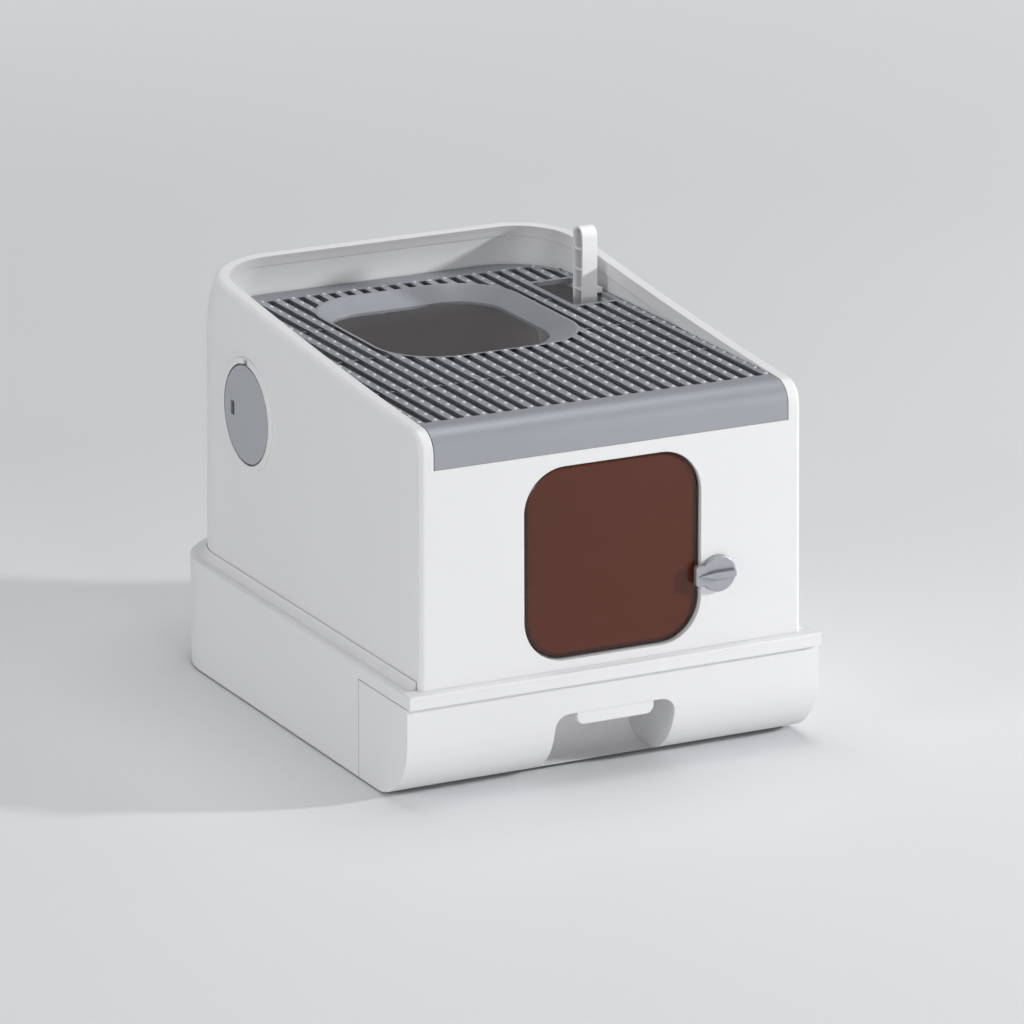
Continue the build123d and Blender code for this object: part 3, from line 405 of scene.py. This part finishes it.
def carbon_felt(name, tint, rounding):
    """Black needled felt: loose fibres in all directions and grey tips."""
    finish = Finish(name, Sheen_Weight=0.25, Sheen_Roughness=0.6)
    fibres = finish.noise(per_metre=700.0, detail=5.0, stretch=(0.4, 1.0, 1.0))
    tufts = finish.noise(per_metre=160.0, detail=4.0)
    return finish.paint(
        Base_Color=finish.mottled(fibres * tufts, tint, darkest=0.7, palest=2.6),
        Roughness=0.86 + fibres * 0.12,
        Normal=finish.bump(fibres + tufts, depth=0.6 * MM, strength=0.9, over=finish.rounded(rounding)),
    )


# Metres from the middle of the floor, and how brightly the floor is seen there beyond its lamplight
FLOOR_GLOW = ((0.96, 0.0), (2.0, 0.12), (3.6, 0.36), (8.0, 0.54))


def floor_paint(name, tint):
    """Plain pale studio floor with a barely cloudy tone, kept pale beyond the lamps' reach."""
    finish = Finish(name, Emission_Strength=1.0)
    cloud = finish.noise(per_metre=1.4, detail=3.0)
    farthest = FLOOR_GLOW[-1][0]
    from_middle = finish.vector("LENGTH", finish.place, output="Value") * (1.0 / farthest)
    glow = finish.ramp(from_middle, *((distance / farthest, level) for distance, level in FLOOR_GLOW))
    return finish.paint(
        Base_Color=finish.mottled(cloud, tint, darkest=0.985, palest=1.01),
        Roughness=0.62 + cloud * 0.08,
        Emission_Color=glow * finish.looked_at(),
    )


def made(name, maker, **values):
    """The finished material of that name, made once."""
    return bpy.data.materials.get(name) or maker(name, **values)


def plastic(name, settings, tint, rounding, **look):
    """Moulded plastic with the grain that all of the box's plastics share."""
    return made(
        name, moulded_plastic, tint=tint, grain=settings.sizes.grain, rounding=rounding, **look
    )


def casing_white(settings):
    return plastic("casing_white", settings, settings.colours.casing, settings.sizes.edge_round)


def inner_white(settings):
    return plastic(
        "inner_white", settings, settings.colours.inner, settings.sizes.small_round, gloss=0.5
    )


def screw_steel(settings):
    return made(
        "screw_steel", bright_steel, tint=settings.colours.steel, rounding=settings.sizes.small_round
    )


def dress(node_name, material):
    """Gives a CAD piece its finish."""
    if node_name not in NODES:
        raise RuntimeError(f"the packed model has no piece named {node_name}")
    slots = NODES[node_name].data.materials
    slots.clear()
    slots.append(material)


def add_piece(context, name, mesh, material):
    """Turns a finished bmesh into an object of the scene."""
    data = bpy.data.meshes.new(name)
    mesh.to_mesh(data)
    mesh.free()
    data.materials.append(material)
    piece = bpy.data.objects.new(name, data)
    context.collection.objects.link(piece)
    return piece


class LITTERBOX_OT_dress_base(bpy.types.Operator):
    """Finish the white base casing and its rubber feet"""

    bl_idname = "litter_box.dress_base"
    bl_label = "Base and feet"

    def execute(self, context):
        settings = context.scene.litter_box
        dress("base_shell", casing_white(settings))
        rubber = made(
            "rubber_black", foot_rubber, tint=settings.colours.rubber,
            rounding=settings.sizes.small_round,
        )
        for end in ("front", "rear"):
            for side in SIDES:
                dress(f"foot_{end}_{side}", rubber)
        return {"FINISHED"}


class LITTERBOX_OT_dress_drawer(bpy.types.Operator):
    """Finish the drawer front with its pull tab, the litter tray and its skids"""

    bl_idname = "litter_box.dress_drawer"
    bl_label = "Drawer"

    def execute(self, context):
        settings = context.scene.litter_box
        dress("drawer_front", casing_white(settings))
        dress("drawer_pull", casing_white(settings))
        grey = plastic(
            "tray_grey", settings, settings.colours.tray, settings.sizes.edge_round, gloss=0.36
        )
        dress("drawer_tray", grey)
        for side in SIDES:
            dress(f"drawer_skid_{side}", grey)
        return {"FINISHED"}


class LITTERBOX_OT_dress_hood(bpy.types.Operator):
    """Finish the white hood with its raised rim"""

    bl_idname = "litter_box.dress_hood"
    bl_label = "Hood"

    def execute(self, context):
        settings = context.scene.litter_box
        white = plastic("hood_white", settings, settings.colours.casing, settings.sizes.rim_round)
        dress("hood_shell", white)
        return {"FINISHED"}


class LITTERBOX_OT_dress_panel(bpy.types.Operator):
    """Finish the grey slotted top panel"""

    bl_idname = "litter_box.dress_panel"
    bl_label = "Top panel"

    # Painted shade in the slots, which are open at both ends, so less has to stand round a place before
    # it counts as shut in
    SLOT_PAINTED_SHADE = PaintedShade(reach=12 * MM, dark=0.72, light=0.95, alone=True)

    def execute(self, context):
        settings = context.scene.litter_box
        grey = plastic(
            "panel_grey", settings, settings.colours.panel, settings.sizes.slot_round,
            gloss=0.4, relief=0.08 * MM, edge_tone=1.12, gaps=self.SLOT_PAINTED_SHADE, metal=0.25,
        )
        dress("top_panel", grey)
        return {"FINISHED"}


class LITTERBOX_OT_set_nubs(bpy.types.Operator):
    """Set the rows of grip nubs on the bars of the top panel"""

    bl_idname = "litter_box.set_nubs"
    bl_label = "Grip nubs"

    CORNERS = 12
    # Height and radius of each ring of a nub, as shares of the nub's own
    RINGS = ((-0.25, 1.0), (0.15, 1.0), (0.6, 0.86), (0.9, 0.52))
    # Height of the bars, the first row of nubs and the end of the last
    BAR_TOP = 0.354
    FRONT = -0.2245
    BACK = 0.235
    # The dish's brim: half its width, its front and back edges and its corner radius
    DISH = (0.1075, -0.0445, 0.2015, 0.064)
    # The scoop's slot: its left, right, near and far edges
    SCOOP = (0.128, 0.184, 0.065, 0.166)

    def clear_of_openings(self, x, y):
        """True where a bar is solid: outside the dish's brim and the scoop's slot."""
        half, front, back, corner = self.DISH
        over_x = max(0.0, abs(x) - (half - corner))
        over_y = max(0.0, front + corner - y, y - (back - corner))
        in_dish = math.hypot(over_x, over_y) < corner
        left, right, near, far = self.SCOOP
        return not in_dish and not (left < x < right and near < y < far)

    def add_ring(self, mesh, middle, radius):
        """A level ring of points round a middle."""
        ring = []
        for corner in range(self.CORNERS):
            turn = 2 * math.pi * corner / self.CORNERS
            across = Vector((math.cos(turn), math.sin(turn), 0.0)) * radius
            ring.append(mesh.verts.new(middle + across))
        return ring

    def add_nub(self, mesh, foot, radius, height):
        """A closed nub with a domed top, sunk a little into the bar that it stands on."""
        rings = []
        for level, share in self.RINGS:
            middle = foot + Vector((0.0, 0.0, level * height))
            rings.append(self.add_ring(mesh, middle, radius * share))
        crown = mesh.verts.new(foot + Vector((0.0, 0.0, height)))
        mesh.faces.new(reversed(rings[0]))
        for corner in range(self.CORNERS):
            after = (corner + 1) % self.CORNERS
            for low, high in zip(rings, rings[1:]):
                mesh.faces.new((low[corner], low[after], high[after], high[corner]))
            mesh.faces.new((rings[-1][corner], rings[-1][after], crown))

    def execute(self, context):
        settings = context.scene.litter_box
        sizes = settings.sizes
        mesh = bmesh.new()
        rows = int((self.BACK - self.FRONT) / sizes.nub_pitch) + 1
        for bar in range(sizes.bar_count):
            x = (bar - (sizes.bar_count - 1) / 2) * sizes.bar_pitch
            for row in range(rows):
                y = self.FRONT + row * sizes.nub_pitch
                if self.clear_of_openings(x, y):
                    foot = Vector((x, y, self.BAR_TOP))
                    self.add_nub(mesh, foot, sizes.nub_across / 2, sizes.nub_height)
        for face in mesh.faces:
            face.smooth = True
        # Paler than the panel: a painted highlight on the nubs' tops
        pale = plastic("nub_grey", settings, settings.colours.nub, sizes.small_round, gloss=0.38)
        nubs = add_piece(context, "panel_nubs", mesh, pale)
        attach(nubs, "panel")
        return {"FINISHED"}


class LITTERBOX_OT_dress_door(bpy.types.Operator):
    """Finish the smoked door, the rod that it hangs on and the rod's brackets"""

    bl_idname = "litter_box.dress_door"
    bl_label = "Door"

    def execute(self, context):
        settings = context.scene.litter_box
        sizes = settings.sizes
        brown = made(
            "door_brown", smoked_pane, tint=settings.colours.pane, rounding=sizes.small_round,
            box=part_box("door_flap"), corner=sizes.pane_corner, band=sizes.pane_band,
        )
        dress("door_flap", brown)
        dress("door_rod", screw_steel(settings))
        for side in SIDES:
            dress(f"door_bracket_{side}", inner_white(settings))
        return {"FINISHED"}


class LITTERBOX_OT_dress_latch(bpy.types.Operator):
    """Finish the turn knob that holds the door and the washer behind it"""

    bl_idname = "litter_box.dress_latch"
    bl_label = "Latch"

    # Painted shade in the creases beside the knob's grip
    CREASE_PAINTED_SHADE = PaintedShade(reach=5 * MM, dark=0.3, light=0.8)

    def execute(self, context):
        settings = context.scene.litter_box
        silver = plastic(
            "knob_grey", settings, settings.colours.knob, settings.sizes.small_round,
            gloss=0.32, relief=0.08 * MM, edge_tone=1.1, gaps=self.CREASE_PAINTED_SHADE, metal=0.6,
        )
        dress("latch_knob", silver)
        dress("latch_washer", screw_steel(settings))
        return {"FINISHED"}


class LITTERBOX_OT_dress_filter(bpy.types.Operator):
    """Finish the round filter cover, the cup behind it and the carbon pad"""

    bl_idname = "litter_box.dress_filter"
    bl_label = "Filter"

    def execute(self, context):
        settings = context.scene.litter_box
        sizes = settings.sizes
        grey = plastic("cover_grey", settings, settings.colours.cover, sizes.small_round, gloss=0.4)
        dress("filter_cover", grey)
        dress("filter_cup", inner_white(settings))
        felt = made("felt_black", carbon_felt, tint=settings.colours.felt, rounding=sizes.edge_round)
        dress("filter_pad", felt)
        return {"FINISHED"}


class LITTERBOX_OT_dress_scoop(bpy.types.Operator):
    """Finish the white scoop that stands in its slot"""

    bl_idname = "litter_box.dress_scoop"
    bl_label = "Scoop"

    def execute(self, context):
        settings = context.scene.litter_box
        white = plastic(
            "scoop_white", settings, settings.colours.scoop, settings.sizes.small_round, gloss=0.34
        )
        dress("scoop", white)
        return {"FINISHED"}


class LITTERBOX_OT_dress_screws(bpy.types.Operator):
    """Finish the steel screws"""

    bl_idname = "litter_box.dress_screws"
    bl_label = "Screws"

    def execute(self, context):
        settings = context.scene.litter_box
        for screws in ("drawer_screws", "bracket_screws", "filter_screws", "latch_screw"):
            dress(screws, screw_steel(settings))
        return {"FINISHED"}


class LITTERBOX_OT_lay_stage(bpy.types.Operator):
    """Lay the floor, set the lamps and the surrounding light, and place the camera"""

    bl_idname = "litter_box.lay_stage"
    bl_label = "Stage"

    FLOOR_SIDES = 96
    # Where each lamp hangs and how wide it is; all of them point at the aim
    LAMPS = {
        "key": ((3.2, -1.92, 1.32), 0.3),
        "top": ((0.3, 0.2, 3.6), 2.5),
        "side": ((-4.2, -0.8, 1.4), 2.0),
        "front": ((-0.6, -4.0, 0.75), 0.8),
    }
    AIM = Vector((0.0, 0.0, 0.2))
    SENSOR_WIDTH = 36.0
    FARTHEST_SEEN = 300.0

    def lay_floor(self, context, radius, tint):
        mesh = bmesh.new()
        bmesh.ops.create_circle(mesh, cap_ends=True, segments=self.FLOOR_SIDES, radius=radius)
        paint = made("floor_paint", floor_paint, tint=tint)
        add_piece(context, "studio_floor", mesh, paint)

    def hang_lamp(self, context, name, place, across, watts):
        data = bpy.data.lights.new(name, "AREA")
        data.shape = "DISK"
        data.size = across
        data.energy = watts
        lamp = bpy.data.objects.new(name, data)
        lamp.location = place
        lamp.rotation_euler = (self.AIM - Vector(place)).to_track_quat("-Z", "Y").to_euler()
        context.collection.objects.link(lamp)

    def light_all_round(self, context, strength, tint):
        world = bpy.data.worlds.new("pale_surroundings")
        world.use_nodes = True
        background = world.node_tree.nodes["Background"]
        background.inputs["Color"].default_value = shade(tint, 1.0)
        background.inputs["Strength"].default_value = strength
        context.scene.world = world

    def place_camera(self, context, stage):
        data = bpy.data.cameras.new("photo_camera")
        data.lens = stage.camera_lens
        data.sensor_width = self.SENSOR_WIDTH
        data.clip_end = self.FARTHEST_SEEN
        camera = bpy.data.objects.new("photo_camera", data)
        camera.location = stage.camera_place
        camera.rotation_euler = (math.radians(90) - stage.camera_tilt, 0.0, stage.camera_turn)
        context.collection.objects.link(camera)
        context.scene.camera = camera

    def execute(self, context):
        stage = context.scene.litter_box.stage
        colours = context.scene.litter_box.colours
        self.lay_floor(context, stage.floor_radius, colours.floor)
        for name, (place, across) in self.LAMPS.items():
            self.hang_lamp(context, f"{name}_lamp", place, across, getattr(stage, f"{name}_power"))
        self.light_all_round(context, stage.sky_strength, colours.sky)
        self.place_camera(context, stage)
        context.scene.view_settings.view_transform = "Standard"
        return {"FINISHED"}


STEPS = (
    LITTERBOX_OT_dress_base,
    LITTERBOX_OT_dress_drawer,
    LITTERBOX_OT_dress_hood,
    LITTERBOX_OT_dress_panel,
    LITTERBOX_OT_set_nubs,
    LITTERBOX_OT_dress_door,
    LITTERBOX_OT_dress_latch,
    LITTERBOX_OT_dress_filter,
    LITTERBOX_OT_dress_scoop,
    LITTERBOX_OT_dress_screws,
    LITTERBOX_OT_lay_stage,
)


class LITTERBOX_PT_sidebar(bpy.types.Panel):
    """Lists the sizes, the colours, the stage and the steps in their order"""

    bl_idname = "LITTERBOX_PT_sidebar"
    bl_label = "Covered Litter Box"
    bl_space_type = "VIEW_3D"
    bl_region_type = "UI"
    bl_category = "Litter Box"

    def draw(self, context):
        settings = context.scene.litter_box
        for group in (settings.sizes, settings.colours, settings.stage):
            box = self.layout.box()
            for name in group.__annotations__:
                box.prop(group, name)
        for step in STEPS:
            self.layout.operator(step.bl_idname)


CLASSES = (
    LitterBoxSizes,
    LitterBoxColours,
    LitterBoxStage,
    LitterBoxSettings,
    *STEPS,
    LITTERBOX_PT_sidebar,
)


def register():
    for cls in CLASSES:
        bpy.utils.register_class(cls)
    bpy.types.Scene.litter_box = PointerProperty(type=LitterBoxSettings)


def unregister():
    del bpy.types.Scene.litter_box
    for cls in reversed(CLASSES):
        bpy.utils.unregister_class(cls)


def main():
    """Registers the classes and runs every step in order."""
    register()
    for step in STEPS:
        group, name = step.bl_idname.split(".")
        getattr(getattr(bpy.ops, group), name)()


if __name__ == "__main__":
    main()
